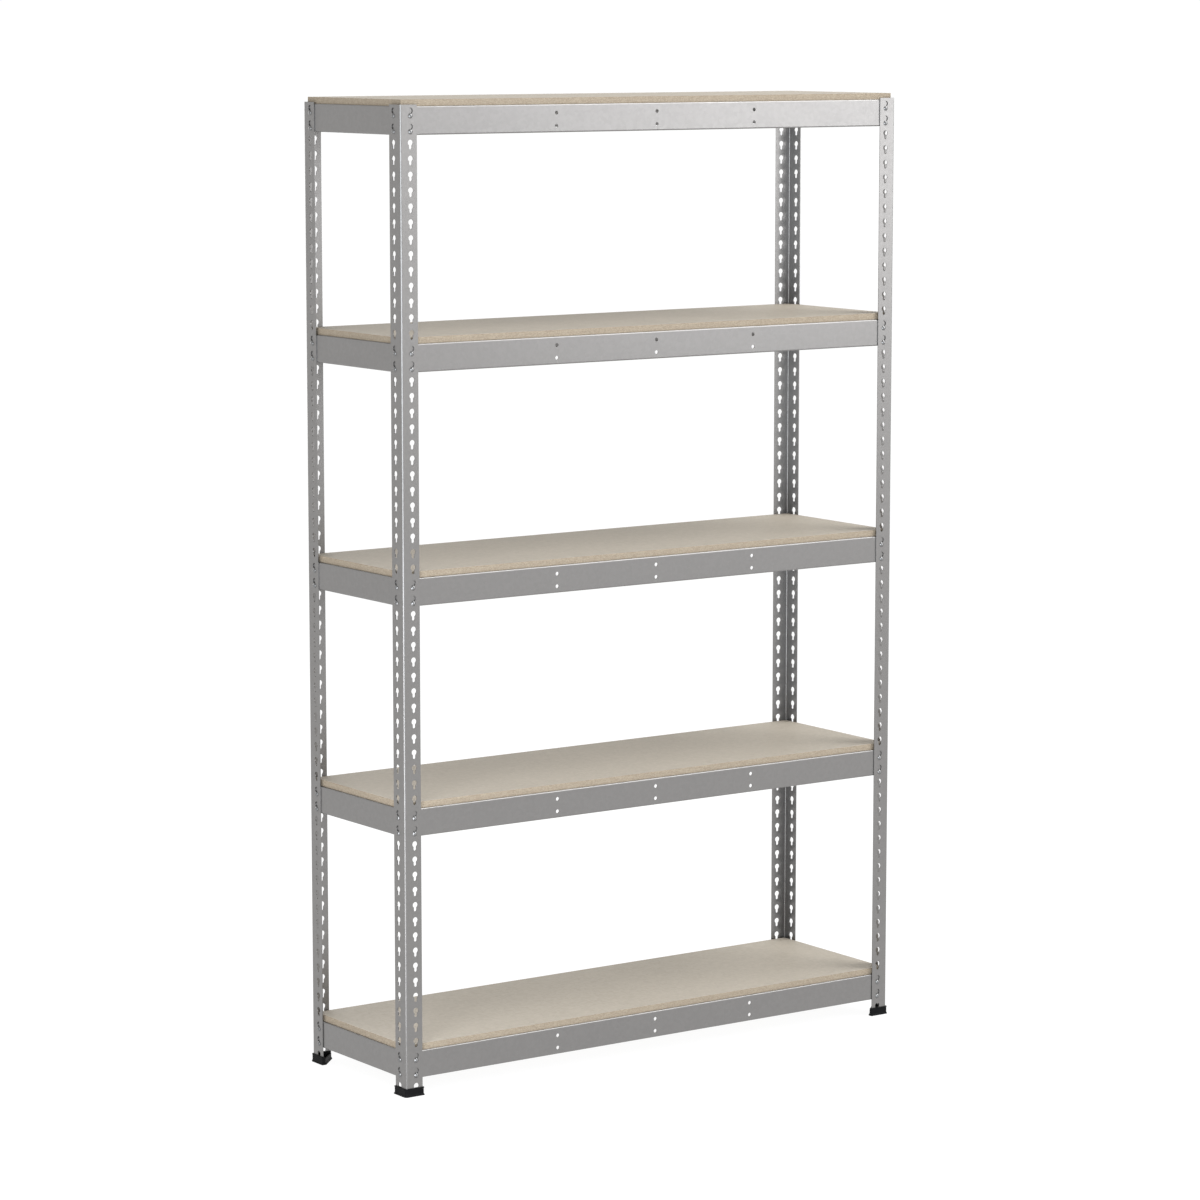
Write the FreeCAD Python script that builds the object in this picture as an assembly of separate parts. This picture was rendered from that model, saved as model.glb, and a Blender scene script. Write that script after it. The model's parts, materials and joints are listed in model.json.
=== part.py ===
import FreeCAD, Part
import math
import os

# Boltless shelving unit: four keyholed angle posts on plastic feet, and five levels.
# Each level is four beams that hook into the posts by rivets, with a loose board on top.
# Millimetres. The origin is on the floor at the middle of the unit: X runs along the width,
# Y from the front to the back, and Z up.

Vector = FreeCAD.Vector

# The unit, over the outer faces of its posts.
UNIT_WIDTH = 1200.0
UNIT_DEPTH = 350.0

# Angle posts with a line of keyholes down each leg.
POST_LEG = 38.0
POST_SHEET = 1.5
POST_BEND_RADIUS = 3.6          # outside of the bend
KEYHOLE_PITCH = 30.0
KEYHOLE_COUNT = 64              # down each leg, with half a pitch left at each end
KEYHOLE_LINE = 23.5             # from the outer corner of the post
KEYHOLE_RADIUS = 5.7            # round upper part, that the rivet head goes through
KEYHOLE_RISE = 3.5              # its centre, above the pitch point
SLOT_WIDTH = 6.0                # lower part, that the rivet shank drops into
SLOT_DROP = 6.2                 # centre of the slot's round end, below the pitch point
POST_LENGTH = KEYHOLE_PITCH * KEYHOLE_COUNT

# Plastic feet: a three-cornered cup round the end of each post.
FOOT_FLOOR = 1.8
FOOT_HEIGHT = 16.2
FOOT_WALL = 2.0
FOOT_PLAY = 0.1                 # between the socket and the post
FOOT_NOSE = 3.4                 # from the inside of a leg to the slanted side, at the leg's end
FOOT_CORNER_RADIUS = 4.6
FOOT_LIP = 1.3                  # how far the base flares out
FOOT_LIP_EDGE = 1.4
FOOT_LIP_TOP = 4.0
FOOT_RIM = 0.5                  # how far the rim stands proud
FOOT_RIM_HEIGHT = 2.0
FOOT_SLANT_DROP = 4.0           # top of the slanted side, below the rim

# Beams: a web with a wide flange along its top and a narrow lip along its bottom.
BEAM_HEIGHT = 54.4
BEAM_SHEET = 1.5
BEAM_BEND_RADIUS = 2.6          # outside of the bends
BEAM_FLANGE = 16.0
BEAM_LIP = 7.0
BEAM_ABOVE_KEYHOLE = 12.0       # top of the beam, above the pitch point of its upper keyhole
BEAM_END_SETBACK = 12.0         # end of the beam, from the outer face of the post's other leg
LIP_END_CUTBACK = 30.0
FLANGE_CORNER_GAP = 1.2         # between a short beam's flange and a long beam's
FIT_GAP = 0.3                   # between pieces that slide past each other
TIE_HOLE_RADIUS = 3.75
TIE_HOLE_SPACING = 25.0
TIE_HOLE_DROP = 16.4            # upper hole of a pair, below the top of the beam
TIE_PAIR_STEP = 240.0
RIVETS_PER_BEAM_END = 2

# Rivets that hook the beams into the posts.
SHANK_RADIUS = SLOT_WIDTH / 2 - FIT_GAP
HEAD_RADIUS = 4.8
HEAD_HEIGHT = 2.6
TAIL_RADIUS = 4.0
TAIL_HEIGHT = 1.2

# Boards.
BOARD_THICKNESS = 12.6
BOARD_INSET = 6.0               # from the outer faces of the posts

# Upper keyhole that each level hangs in, counted from the top keyhole, from the lowest level up.
LEVEL_KEYHOLES = (61, 45, 30, 15, 0)


def pitch_height(index):
    """Height of a keyhole's pitch point above the floor, counted from the top keyhole."""
    return FOOT_FLOOR + KEYHOLE_PITCH * (KEYHOLE_COUNT - 0.5 - index)


def rounded_outline(corners, height=0.0):
    """Closed wire in a level plane round corners given as (x, y, radius of the bend)."""
    points = [Vector(x, y, height) for x, y, _ in corners]
    edges = []
    leaving = []
    arriving = []
    for index, (_, _, radius) in enumerate(corners):
        corner = points[index]
        back = (points[index - 1] - corner).normalize()
        ahead = (points[(index + 1) % len(points)] - corner).normalize()
        half_angle = back.getAngle(ahead) / 2
        setback = radius / math.tan(half_angle)
        arriving.append(corner + back * setback)
        leaving.append(corner + ahead * setback)
        if radius > 0:
            inward = (back + ahead).normalize()
            middle = corner + inward * (radius / math.sin(half_angle) - radius)
            edges.append(Part.Arc(arriving[-1], middle, leaving[-1]).toShape())
    for index in range(len(points)):
        edges.append(Part.makeLine(leaving[index - 1], arriving[index]))
    return Part.Wire(Part.__sortEdges__(edges))


def prism(corners, height, base=0.0):
    """Solid with the rounded outline as its section, standing on the given base height."""
    return Part.Face(rounded_outline(corners, base)).extrude(Vector(0, 0, height))


def angle_section(leg, sheet, bend_radius, outer=0.0):
    """Corners of an angle whose outer corner is at (outer, outer) and whose legs end at leg."""
    inside = outer + sheet
    return [
        (outer, outer, bend_radius),
        (leg, outer, 0),
        (leg, inside, 0),
        (inside, inside, bend_radius - sheet),
        (inside, leg, 0),
        (outer, leg, 0),
    ]


def keyhole_cutter(height):
    """Keyhole through the leg that lies along X, at the given pitch height."""
    half_slot = SLOT_WIDTH / 2
    neck = KEYHOLE_RISE - math.sqrt(KEYHOLE_RADIUS ** 2 - half_slot ** 2)

    def at(across, up):
        return Vector(KEYHOLE_LINE + across, -POST_SHEET, height + up)

    crown = KEYHOLE_RISE + KEYHOLE_RADIUS
    outline = Part.Wire([
        Part.Arc(at(half_slot, neck), at(0, crown), at(-half_slot, neck)).toShape(),
        Part.makeLine(at(-half_slot, neck), at(-half_slot, -SLOT_DROP)),
        Part.Arc(at(-half_slot, -SLOT_DROP), at(0, -SLOT_DROP - half_slot),
                 at(half_slot, -SLOT_DROP)).toShape(),
        Part.makeLine(at(half_slot, -SLOT_DROP), at(half_slot, neck)),
    ])
    return Part.Face(outline).extrude(Vector(0, 3 * POST_SHEET, 0))


def swapped_legs(shape):
    """The shape mirrored so that what lay along X lies along Y."""
    return shape.mirror(Vector(0, 0, 0), Vector(1, -1, 0))


def post():
    """Front left post, with its outer corner on the Z axis."""
    section = angle_section(POST_LEG, POST_SHEET, POST_BEND_RADIUS)
    blank = prism(section, POST_LENGTH, FOOT_FLOOR)
    cutters = [keyhole_cutter(pitch_height(index)) for index in range(KEYHOLE_COUNT)]
    return blank.cut(cutters + [swapped_legs(cutter) for cutter in cutters])


def foot_corners(grow):
    """Outline of the foot: the post's angle boxed in, with a slanted side across its inside."""
    outer = -FOOT_PLAY - FOOT_WALL - grow
    end = POST_LEG + FOOT_PLAY + FOOT_WALL + grow
    nose = POST_SHEET + FOOT_NOSE + grow
    return [
        (outer, outer, FOOT_CORNER_RADIUS + grow),
        (end, outer, FOOT_WALL),
        (end, nose, FOOT_WALL / 2),
        (nose, end, FOOT_WALL / 2),
        (outer, end, FOOT_WALL),
    ]


def foot():
    """Foot of the front left post, standing on the floor round the Z axis."""
    body = prism(foot_corners(0), FOOT_HEIGHT)
    edge = prism(foot_corners(FOOT_LIP), FOOT_LIP_EDGE)
    flare = Part.makeLoft([
        rounded_outline(foot_corners(FOOT_LIP), FOOT_LIP_EDGE),
        rounded_outline(foot_corners(0), FOOT_LIP_TOP),
    ], True, True)
    rim = prism(foot_corners(FOOT_RIM), FOOT_RIM_HEIGHT, FOOT_HEIGHT - FOOT_RIM_HEIGHT)
    socket = prism(
        angle_section(POST_LEG + FOOT_PLAY, POST_SHEET + 2 * FOOT_PLAY,
                      POST_BEND_RADIUS + FOOT_PLAY, -FOOT_PLAY),
        FOOT_HEIGHT, FOOT_FLOOR)
    near = POST_SHEET + FOOT_PLAY + FOOT_WALL
    far = POST_LEG - FOOT_WALL
    slant = POST_LEG + POST_SHEET + FOOT_NOSE + FOOT_WALL - FOOT_WALL * math.sqrt(2)
    pocket = prism([
        (near, near, FOOT_WALL / 2),
        (far, near, 0),
        (far, slant - far, 0),
        (slant - far, far, 0),
        (near, far, 0),
    ], FOOT_HEIGHT, FOOT_FLOOR)
    step = Part.makeBox(POST_LEG, POST_LEG, FOOT_SLANT_DROP,
                        Vector(near, near, FOOT_HEIGHT - FOOT_SLANT_DROP))
    return body.fuse([edge, flare, rim]).cut([socket, pocket, step]).removeSplitter()


def rivet_heights():
    """Heights of the rivets above the bottom of a beam that hangs in the posts."""
    upper = BEAM_HEIGHT - BEAM_ABOVE_KEYHOLE - SLOT_DROP
    return [upper - KEYHOLE_PITCH * index for index in range(RIVETS_PER_BEAM_END)]


# A beam and its rivets are drawn with X inward from the outer face of the web, Y up from the
# beam's bottom edge and Z along the beam from its middle.


def bore(radius, height, along):
    """Round cutter through the web."""
    return Part.makeCylinder(radius, 3 * BEAM_SHEET, Vector(-BEAM_SHEET, height, along), Vector(1, 0, 0))


def beam(length, rivet_place, flange_cutback, tie_pair_places):
    """One beam. The flange is cut back at both ends to clear the beam that it meets."""
    inner_radius = BEAM_BEND_RADIUS - BEAM_SHEET
    section = [
        (0, 0, BEAM_BEND_RADIUS),
        (BEAM_LIP, 0, 0),
        (BEAM_LIP, BEAM_SHEET, 0),
        (BEAM_SHEET, BEAM_SHEET, inner_radius),
        (BEAM_SHEET, BEAM_HEIGHT - BEAM_SHEET, inner_radius),
        (BEAM_FLANGE, BEAM_HEIGHT - BEAM_SHEET, 0),
        (BEAM_FLANGE, BEAM_HEIGHT, 0),
        (0, BEAM_HEIGHT, BEAM_BEND_RADIUS),
    ]
    blank = prism(section, length, -length / 2)
    half_height = BEAM_HEIGHT / 2
    cutters = []
    for near_end in (-length / 2, length / 2 - LIP_END_CUTBACK):
        corner = Vector(BEAM_SHEET, 0, near_end)
        cutters.append(Part.makeBox(BEAM_LIP, half_height, LIP_END_CUTBACK, corner))
    if flange_cutback > 0:
        for near_end in (-length / 2, length / 2 - flange_cutback):
            corner = Vector(BEAM_SHEET, half_height, near_end)
            cutters.append(Part.makeBox(BEAM_FLANGE, half_height, flange_cutback, corner))
    for height in rivet_heights():
        cutters.append(bore(SHANK_RADIUS, height, rivet_place))
        cutters.append(bore(SHANK_RADIUS, height, -rivet_place))
    upper_tie_hole = BEAM_HEIGHT - TIE_HOLE_DROP
    for place in tie_pair_places:
        cutters.append(bore(TIE_HOLE_RADIUS, upper_tie_hole, place))
        cutters.append(bore(TIE_HOLE_RADIUS, upper_tie_hole - TIE_HOLE_SPACING, place))
    return blank.cut(cutters)


def rivet(height, along):
    """Rivet through the web: flat tail inside, shank through the post, domed head outside."""
    head_base = -(FIT_GAP + POST_SHEET + FIT_GAP)
    dome_radius = (HEAD_RADIUS ** 2 + HEAD_HEIGHT ** 2) / (2 * HEAD_HEIGHT)
    dome_centre = head_base - HEAD_HEIGHT + dome_radius
    half_span = math.asin(HEAD_RADIUS / dome_radius) / 2

    def at(out, inward):
        return Vector(inward, height + out, along)

    tail_end = BEAM_SHEET + TAIL_HEIGHT
    dome_middle = at(dome_radius * math.sin(half_span), dome_centre - dome_radius * math.cos(half_span))
    crown = at(0, head_base - HEAD_HEIGHT)
    profile = Part.Wire([
        Part.makeLine(crown, at(0, tail_end)),
        Part.makeLine(at(0, tail_end), at(TAIL_RADIUS, tail_end)),
        Part.makeLine(at(TAIL_RADIUS, tail_end), at(TAIL_RADIUS, BEAM_SHEET)),
        Part.makeLine(at(TAIL_RADIUS, BEAM_SHEET), at(SHANK_RADIUS, BEAM_SHEET)),
        Part.makeLine(at(SHANK_RADIUS, BEAM_SHEET), at(SHANK_RADIUS, head_base)),
        Part.makeLine(at(SHANK_RADIUS, head_base), at(HEAD_RADIUS, head_base)),
        Part.Arc(at(HEAD_RADIUS, head_base), dome_middle, crown).toShape(),
    ])
    return Part.Face(profile).revolve(at(0, 0), Vector(1, 0, 0), 360)


def beam_rivets(rivet_place):
    """The rivets at both ends of one beam."""
    places = [(height, side * rivet_place) for height in rivet_heights() for side in (-1, 1)]
    return [rivet(height, along) for height, along in places]


# Turns that lay a drawn beam along the front, facing forwards, and along the left side.
ALONG_FRONT = FreeCAD.Rotation(Vector(1, 1, 1), 120)
ALONG_LEFT = FreeCAD.Rotation(Vector(1, 0, 0), 90)


def laid(shape, rotation, corner):
    """The drawn shape turned to its side of the unit and moved there."""
    copy = shape.copy()
    copy.Placement = FreeCAD.Placement(corner, rotation)
    return copy


def opposite(shape, axis):
    """The shape mirrored to the other side of the unit along an axis."""
    return shape.mirror(Vector(0, 0, 0), axis)


def level_pieces(bottom):
    """The four beams of a level and all their rivets, with the beams' bottoms at a height."""
    web_offset = POST_SHEET + FIT_GAP
    long_rivet = UNIT_WIDTH / 2 - KEYHOLE_LINE
    short_rivet = UNIT_DEPTH / 2 - KEYHOLE_LINE
    flange_cutback = web_offset + BEAM_FLANGE + FLANGE_CORNER_GAP - BEAM_END_SETBACK
    long_beam = beam(UNIT_WIDTH - 2 * BEAM_END_SETBACK, long_rivet, 0,
                     (-TIE_PAIR_STEP, 0, TIE_PAIR_STEP))
    short_beam = beam(UNIT_DEPTH - 2 * BEAM_END_SETBACK, short_rivet, flange_cutback, ())
    front_place = Vector(0, web_offset - UNIT_DEPTH / 2, bottom)
    left_place = Vector(web_offset - UNIT_WIDTH / 2, 0, bottom)
    front = laid(long_beam, ALONG_FRONT, front_place)
    left = laid(short_beam, ALONG_LEFT, left_place)
    front_rivets = [laid(one, ALONG_FRONT, front_place) for one in beam_rivets(long_rivet)]
    left_rivets = [laid(one, ALONG_LEFT, left_place) for one in beam_rivets(short_rivet)]
    to_rear = Vector(0, 1, 0)
    to_right = Vector(1, 0, 0)
    rivets = front_rivets + left_rivets
    rivets += [opposite(one, to_rear) for one in front_rivets]
    rivets += [opposite(one, to_right) for one in left_rivets]
    return {
        "beam_front": front,
        "beam_rear": opposite(front, to_rear),
        "beam_left": left,
        "beam_right": opposite(left, to_right),
        "rivets": Part.makeCompound(rivets),
    }


def board(bottom):
    """One chipboard panel lying on the beams' flanges."""
    length = UNIT_WIDTH - 2 * BOARD_INSET
    depth = UNIT_DEPTH - 2 * BOARD_INSET
    return Part.makeBox(length, depth, BOARD_THICKNESS, Vector(-length / 2, -depth / 2, bottom))


def at_corners(shape):
    """Copies of a front left piece at the unit's four corners, by name."""
    front_left = shape.translated(Vector(-UNIT_WIDTH / 2, -UNIT_DEPTH / 2, 0))
    front_right = opposite(front_left, Vector(1, 0, 0))
    return {
        "front_left": front_left,
        "front_right": front_right,
        "rear_left": opposite(front_left, Vector(0, 1, 0)),
        "rear_right": opposite(front_right, Vector(0, 1, 0)),
    }


def all_nodes():
    """Every piece of the unit, by node name. Levels are numbered from the lowest."""
    nodes = {}
    for corner, shape in at_corners(post()).items():
        nodes["post_" + corner] = shape
    for corner, shape in at_corners(foot()).items():
        nodes["foot_" + corner] = shape
    for number, keyhole in enumerate(LEVEL_KEYHOLES, start=1):
        beam_top = pitch_height(keyhole) + BEAM_ABOVE_KEYHOLE
        for name, shape in level_pieces(beam_top - BEAM_HEIGHT).items():
            nodes[f"{name}_{number}"] = shape
        nodes[f"board_{number}"] = board(beam_top)
    return nodes


os.makedirs("parts", exist_ok=True)
for node, shape in all_nodes().items():
    if not shape.isValid():
        raise ValueError(f"{node} is not a valid shape")
    shape.exportStep(f"parts/{node}.step")
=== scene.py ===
import json
import math

import bpy
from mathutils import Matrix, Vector


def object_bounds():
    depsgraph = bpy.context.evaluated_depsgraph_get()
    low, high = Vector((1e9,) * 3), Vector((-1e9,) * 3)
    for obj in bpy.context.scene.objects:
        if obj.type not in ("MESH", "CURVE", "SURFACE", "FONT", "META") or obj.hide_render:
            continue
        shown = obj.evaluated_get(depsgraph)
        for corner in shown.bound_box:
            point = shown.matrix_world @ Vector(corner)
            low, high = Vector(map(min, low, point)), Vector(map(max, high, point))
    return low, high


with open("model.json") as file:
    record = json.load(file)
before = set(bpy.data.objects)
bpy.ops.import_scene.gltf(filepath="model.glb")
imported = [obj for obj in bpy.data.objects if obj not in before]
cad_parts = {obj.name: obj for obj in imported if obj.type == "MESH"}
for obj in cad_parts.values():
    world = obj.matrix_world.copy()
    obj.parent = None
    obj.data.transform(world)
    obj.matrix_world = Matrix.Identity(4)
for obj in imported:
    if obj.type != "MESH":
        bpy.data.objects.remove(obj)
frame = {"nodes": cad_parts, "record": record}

# Boltless shelving in a white studio. The shapes are the frame's own nodes, and this script
# gives them their materials, and adds the floor, the lights and the camera. Metres and degrees.

CAD_BOX = [list(corner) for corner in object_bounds()]
NODES = frame["nodes"]
LOW, HIGH = (Vector(corner) for corner in CAD_BOX)
MIDDLE = (LOW + HIGH) / 2

# Camera: to the front left of the unit, a little above its top.
CAMERA_DISTANCE = 8.33
CAMERA_AZIMUTH = 35.2
CAMERA_HEIGHT = 2.083
AIM_SIDE = -0.0155
AIM_HEIGHT = 0.912
LENS = 124.0

# Surroundings, as radiance on a scale where 1 is white.
HORIZON_RADIANCE = 1.02
SKY_RADIANCE = 0.85
SKY_FADE_START = 0.15           # height of the direction, from 0 at the horizon to 1 overhead
SKY_FADE_END = 0.35
FLOOR_GLOW = 0.93
FLOOR_ALBEDO = 0.12
FLOOR_HALF_SIDE = 40.0

# Darkest and lightest colour of each surface.
STEEL_TONES = ((0.227, 0.221, 0.217), (0.251, 0.245, 0.240))
RIVET_TONES = ((0.18, 0.18, 0.18), (0.24, 0.24, 0.24))
BOARD_FACE_TONES = ((0.345, 0.308, 0.253), (0.405, 0.363, 0.303))
BOARD_EDGE_TONES = ((0.235, 0.188, 0.139), (0.347, 0.296, 0.226))
PLASTIC_TONES = ((0.004, 0.004, 0.0045), (0.009, 0.009, 0.0095))

# Sockets of a Mix node that mixes colours.
MIX_FACTOR = 0
MIX_FIRST = 6
MIX_SECOND = 7
MIX_RESULT = 2


def turned_towards(aim, place):
    """Rotation of a camera or lamp at a place, so that it faces the aim point."""
    return (Vector(aim) - Vector(place)).to_track_quat("-Z", "Y")


def add_camera():
    """The camera stands off to the front left and looks at the middle of the unit."""
    angle = math.radians(CAMERA_AZIMUTH)
    place = Vector((-math.sin(angle), -math.cos(angle), 0)) * CAMERA_DISTANCE
    place.z = CAMERA_HEIGHT
    aim = Vector((MIDDLE.x + AIM_SIDE, MIDDLE.y, AIM_HEIGHT))
    camera = bpy.data.objects.new("camera", bpy.data.cameras.new("camera"))
    camera.data.lens = LENS
    camera.location = place
    camera.rotation_mode = "QUATERNION"
    camera.rotation_quaternion = turned_towards(aim, place)
    bpy.context.scene.collection.objects.link(camera)
    bpy.context.scene.camera = camera


# ---------------------------------------------------------------- light and floor


def add_softbox(name, place, aim, width, height, radiance, colour=(1, 1, 1)):
    """A soft rectangular light that faces the aim point."""
    light = bpy.data.lights.new(name, "AREA")
    light.shape = "RECTANGLE"
    light.size = width
    light.size_y = height
    light.energy = radiance * math.pi * width * height
    light.color = colour
    lamp = bpy.data.objects.new(name, light)
    lamp.location = place
    lamp.rotation_mode = "QUATERNION"
    lamp.rotation_quaternion = turned_towards(aim, place)
    lamp.visible_camera = False
    bpy.context.scene.collection.objects.link(lamp)


def add_softboxes():
    """The studio's lights, by what each one brightens."""
    # Front faces, towards their top right.
    add_softbox("key", place=(3.8, -3.6, 2.6), aim=(0.4, 0, 2.0),
                width=3.6, height=2.6, radiance=3.3, colour=(0.97, 0.98, 1.0))
    # Boards, and the bend along the top of each front beam.
    add_softbox("overhead", place=(2.5, -1.7, 4.7), aim=(0, -0.1, 1.2),
                width=3.0, height=2.4, radiance=6.0)
    # Lower part of the front left post's bend.
    add_softbox("side_strip", place=(-0.95, -0.41, 0.52), aim=(-0.6, -0.17, 0.52),
                width=0.16, height=1.0, radiance=4.0, colour=(0.96, 0.96, 1.0))
    # The front left post's bend, and the insides of the rear right post.
    add_softbox("camera_side", place=(-2.6, -3.5, 1.25), aim=(0.2, 0, 0.8),
                width=4.0, height=2.4, radiance=4.2, colour=(0.86, 0.93, 1.0))
    # The back of the unit.
    add_softbox("rear_fill", place=(0.2, 4.6, 2.0), aim=(0, 0, 1.0),
                width=2.6, height=2.6, radiance=2.5)


def add_world():
    """A white studio, a little darker overhead than at the horizon."""
    world = bpy.data.worlds.new("studio")
    world.use_nodes = True
    tree = world.node_tree
    direction = tree.nodes.new("ShaderNodeTexCoord")
    axes = tree.nodes.new("ShaderNodeSeparateXYZ")
    fade = tree.nodes.new("ShaderNodeMapRange")
    fade.inputs["From Min"].default_value = SKY_FADE_START
    fade.inputs["From Max"].default_value = SKY_FADE_END
    fade.inputs["To Min"].default_value = HORIZON_RADIANCE
    fade.inputs["To Max"].default_value = SKY_RADIANCE
    tree.links.new(direction.outputs["Generated"], axes.inputs["Vector"])
    tree.links.new(axes.outputs["Z"], fade.inputs["Value"])
    tree.links.new(fade.outputs["Result"], tree.nodes["Background"].inputs["Strength"])
    tree.nodes["Background"].inputs["Color"].default_value = (1, 1, 1, 1)
    bpy.context.scene.world = world


def add_floor():
    """A plain pale floor under the unit."""
    half = FLOOR_HALF_SIDE
    mesh = bpy.data.meshes.new("floor")
    corners = [(-half, -half, LOW.z), (half, -half, LOW.z), (half, half, LOW.z), (-half, half, LOW.z)]
    mesh.from_pydata(corners, [], [(0, 1, 2, 3)])
    floor = bpy.data.objects.new("floor", mesh)
    bpy.context.scene.collection.objects.link(floor)
    material = bpy.data.materials.new("floor")
    material.use_nodes = True
    shader = material.node_tree.nodes["Principled BSDF"]
    shader.inputs["Base Color"].default_value = (FLOOR_ALBEDO, FLOOR_ALBEDO, FLOOR_ALBEDO, 1)
    shader.inputs["Roughness"].default_value = 1.0
    shader.inputs["Specular IOR Level"].default_value = 0.0
    shader.inputs["Emission Color"].default_value = (1, 1, 1, 1)
    shader.inputs["Emission Strength"].default_value = FLOOR_GLOW
    mesh.materials.append(material)


# ---------------------------------------------------------------- materials


class Nodes:
    """A material's node tree, with short calls for the nodes that the materials share."""

    def __init__(self, name):
        self.material = bpy.data.materials.new(name)
        self.material.use_nodes = True
        self.tree = self.material.node_tree
        self.shader = self.tree.nodes["Principled BSDF"]
        coordinates = self.tree.nodes.new("ShaderNodeTexCoord")
        self.place = coordinates.outputs["Object"]

    def link(self, source, target):
        """Joins an output socket to an input socket."""
        self.tree.links.new(source, target)

    def feed(self, socket, value):
        """Gives an input a number, a colour or another node's output."""
        if isinstance(value, bpy.types.NodeSocket):
            self.link(value, socket)
        elif isinstance(value, tuple):
            socket.default_value = (*value, 1)
        else:
            socket.default_value = value

    def stretched(self, scale):
        """The place on the object, scaled along each axis."""
        mapping = self.tree.nodes.new("ShaderNodeMapping")
        mapping.inputs["Scale"].default_value = scale
        self.link(self.place, mapping.inputs["Vector"])
        return mapping.outputs["Vector"]

    def noise(self, scale, detail=2.0):
        """Smooth noise between 0 and 1. scale is cells per metre."""
        noise = self.tree.nodes.new("ShaderNodeTexNoise")
        noise.inputs["Scale"].default_value = scale
        noise.inputs["Detail"].default_value = detail
        self.link(self.place, noise.inputs["Vector"])
        return noise.outputs["Fac"]

    def flakes(self, scale, place=None):
        """One random grey for each cell. scale is cells per metre."""
        cells = self.tree.nodes.new("ShaderNodeTexVoronoi")
        cells.inputs["Scale"].default_value = scale
        self.link(place or self.place, cells.inputs["Vector"])
        grey = self.tree.nodes.new("ShaderNodeSeparateColor")
        self.link(cells.outputs["Color"], grey.inputs["Color"])
        return grey.outputs["Red"]

    def math(self, operation, *values):
        """A math node on sockets or numbers."""
        node = self.tree.nodes.new("ShaderNodeMath")
        node.operation = operation
        for socket, value in zip(node.inputs, values):
            self.feed(socket, value)
        return node.outputs[0]

    def weighted_sum(self, *terms):
        """The sum of (value, weight) pairs."""
        products = [self.math("MULTIPLY", value, weight) for value, weight in terms]
        total = products[0]
        for product in products[1:]:
            total = self.math("ADD", total, product)
        return total

    def remap(self, value, low, high, to_low, to_high):
        """value between low and high, spread between to_low and to_high."""
        node = self.tree.nodes.new("ShaderNodeMapRange")
        node.inputs["From Min"].default_value = low
        node.inputs["From Max"].default_value = high
        node.inputs["To Min"].default_value = to_low
        node.inputs["To Max"].default_value = to_high
        self.link(value, node.inputs["Value"])
        return node.outputs["Result"]

    def mix(self, amount, first, second):
        """A mix of two colours."""
        node = self.tree.nodes.new("ShaderNodeMix")
        node.data_type = "RGBA"
        self.feed(node.inputs[MIX_FACTOR], amount)
        self.feed(node.inputs[MIX_FIRST], first)
        self.feed(node.inputs[MIX_SECOND], second)
        return node.outputs[MIX_RESULT]

    def bump(self, height, strength, distance):
        """Fine relief on the surface. distance is its depth in metres."""
        node = self.tree.nodes.new("ShaderNodeBump")
        node.inputs["Strength"].default_value = strength
        node.inputs["Distance"].default_value = distance
        self.link(height, node.inputs["Height"])
        self.link(node.outputs["Normal"], self.shader.inputs["Normal"])

    def drive(self, name, value):
        """Lets a pattern set one of the shader's inputs."""
        self.link(value, self.shader.inputs[name])

    def hold(self, name, value):
        """Sets one of the shader's own inputs to the same value all over."""
        self.shader.inputs[name].default_value = value


def galvanised(name):
    """Hot-dip sheet: satin zinc with small spangles, cloudy patches and a fine speckle."""
    nodes = Nodes(name)
    spangle = nodes.flakes(scale=160)
    cloud = nodes.noise(scale=14, detail=3)
    speckle = nodes.noise(scale=600)
    tone = nodes.weighted_sum((spangle, 0.30), (cloud, 0.20), (speckle, 0.50))
    tone = nodes.remap(tone, 0.2, 0.8, 0, 1)
    nodes.drive("Base Color", nodes.mix(tone, *STEEL_TONES))
    nodes.drive("Roughness", nodes.remap(tone, 0, 1, 0.37, 0.33))
    nodes.hold("Metallic", 1.0)
    nodes.bump(speckle, strength=0.1, distance=0.0001)
    return nodes.material


def zinc_plate(name):
    """Smooth bright plating on the rivets."""
    nodes = Nodes(name)
    tone = nodes.noise(scale=900, detail=3)
    nodes.drive("Base Color", nodes.mix(tone, *RIVET_TONES))
    nodes.drive("Roughness", nodes.remap(tone, 0.3, 0.7, 0.26, 0.20))
    nodes.hold("Metallic", 1.0)
    nodes.bump(tone, strength=0.1, distance=0.0002)
    return nodes.material


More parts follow.
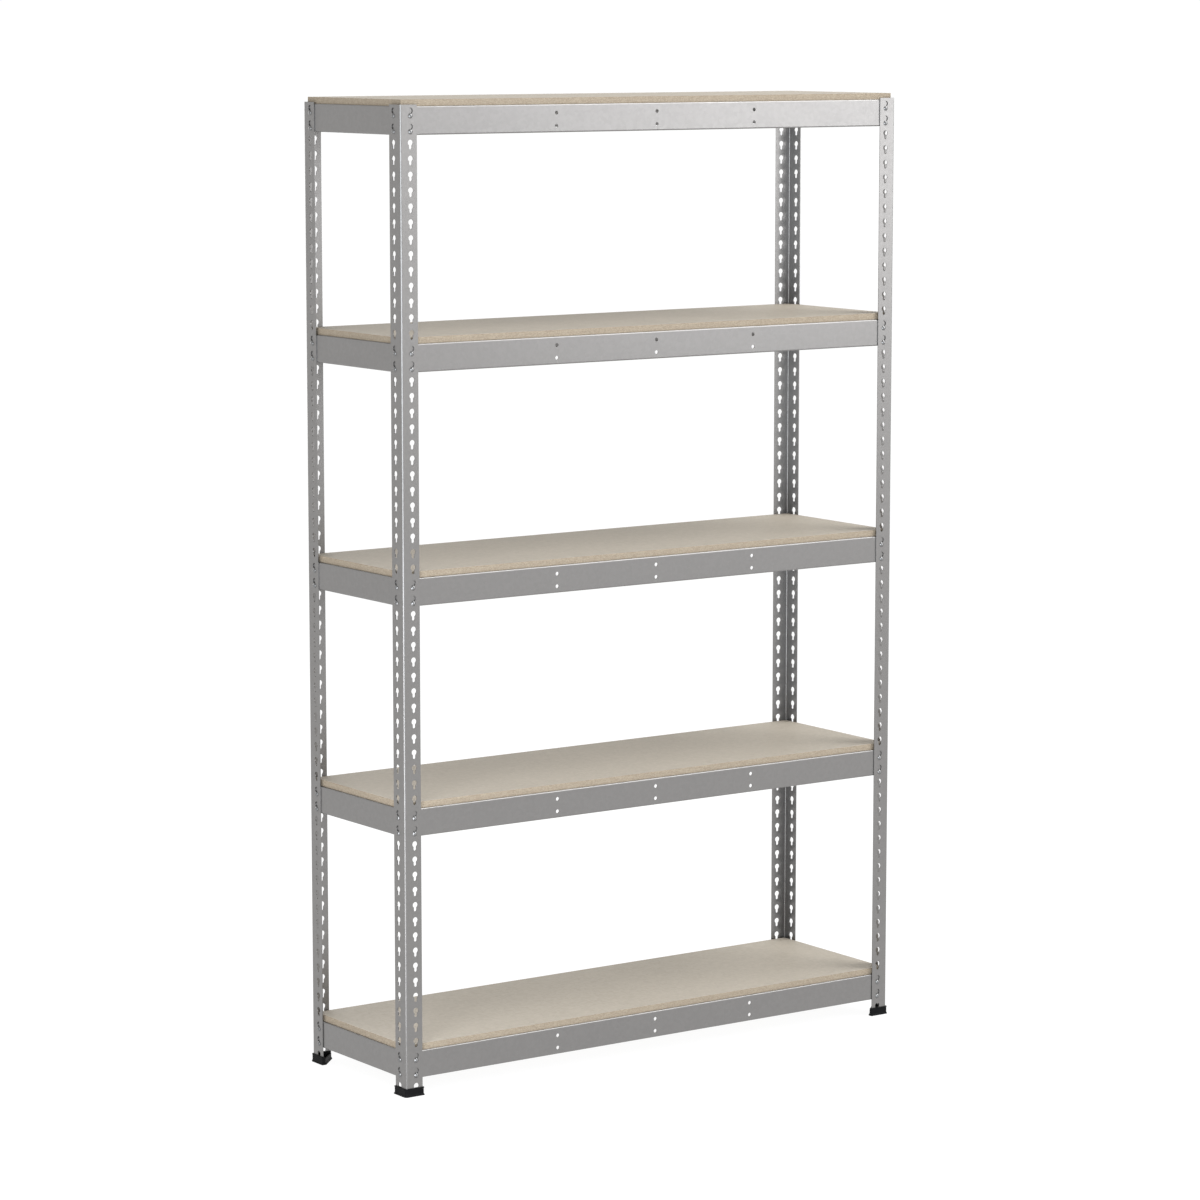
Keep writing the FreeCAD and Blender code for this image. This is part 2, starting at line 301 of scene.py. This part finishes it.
def chipboard(name):
    """Sanded grey-beige faces with faint chips, and sawn tan edges with coarse ones."""
    nodes = Nodes(name)
    geometry = nodes.tree.nodes.new("ShaderNodeNewGeometry")
    axes = nodes.tree.nodes.new("ShaderNodeSeparateXYZ")
    nodes.link(geometry.outputs["Normal"], axes.inputs["Vector"])
    on_face = nodes.math("GREATER_THAN", nodes.math("ABSOLUTE", axes.outputs["Z"]), 0.5)

    along_chips = nodes.flakes(scale=260, place=nodes.stretched((1, 0.45, 1)))
    across_chips = nodes.flakes(scale=300, place=nodes.stretched((0.4, 1, 1)))
    cloud = nodes.noise(scale=6, detail=3)
    face_tone = nodes.weighted_sum((along_chips, 0.3), (across_chips, 0.3), (cloud, 0.4))
    face_tone = nodes.remap(face_tone, 0.2, 0.8, 0, 1)
    face = nodes.mix(face_tone, *BOARD_FACE_TONES)

    coarse = nodes.flakes(scale=620, place=nodes.stretched((0.7, 0.7, 1)))
    grit = nodes.noise(scale=1500, detail=3)
    edge_tone = nodes.weighted_sum((coarse, 0.5), (grit, 0.5))
    edge_tone = nodes.remap(edge_tone, 0.15, 0.85, 0, 1)
    edge = nodes.mix(edge_tone, *BOARD_EDGE_TONES)

    nodes.drive("Base Color", nodes.mix(on_face, edge, face))
    nodes.drive("Roughness", nodes.remap(on_face, 0, 1, 0.9, 0.62))
    nodes.hold("Specular IOR Level", 0.3)
    face_relief = nodes.math("MULTIPLY", face_tone, 0.15)
    nodes.bump(nodes.mix(on_face, edge_tone, face_relief), strength=0.5, distance=0.0006)
    return nodes.material


def black_plastic(name):
    """Moulded black plastic with a fine matte texture."""
    nodes = Nodes(name)
    grain = nodes.noise(scale=1200)
    patch = nodes.noise(scale=60)
    nodes.drive("Base Color", nodes.mix(patch, *PLASTIC_TONES))
    nodes.drive("Roughness", nodes.remap(grain, 0.3, 0.7, 0.42, 0.58))
    nodes.hold("Specular IOR Level", 0.05)
    nodes.bump(grain, strength=0.25, distance=0.0003)
    return nodes.material


def finish_nodes():
    """Gives each CAD node the material of its slot."""
    finishes = {
        "posts": galvanised("galvanised_posts"),
        "beams": galvanised("galvanised_beams"),
        "rivets": zinc_plate("zinc_rivets"),
        "boards": chipboard("chipboard"),
        "feet": black_plastic("black_plastic"),
    }
    for part in frame["record"]["subparts"]:
        node = NODES[part["node"]]
        node.data.materials.clear()
        node.data.materials.append(finishes[part["material_slot"]])


add_camera()
add_world()
add_floor()
add_softboxes()
finish_nodes()
bpy.context.scene.view_settings.view_transform = "Standard"
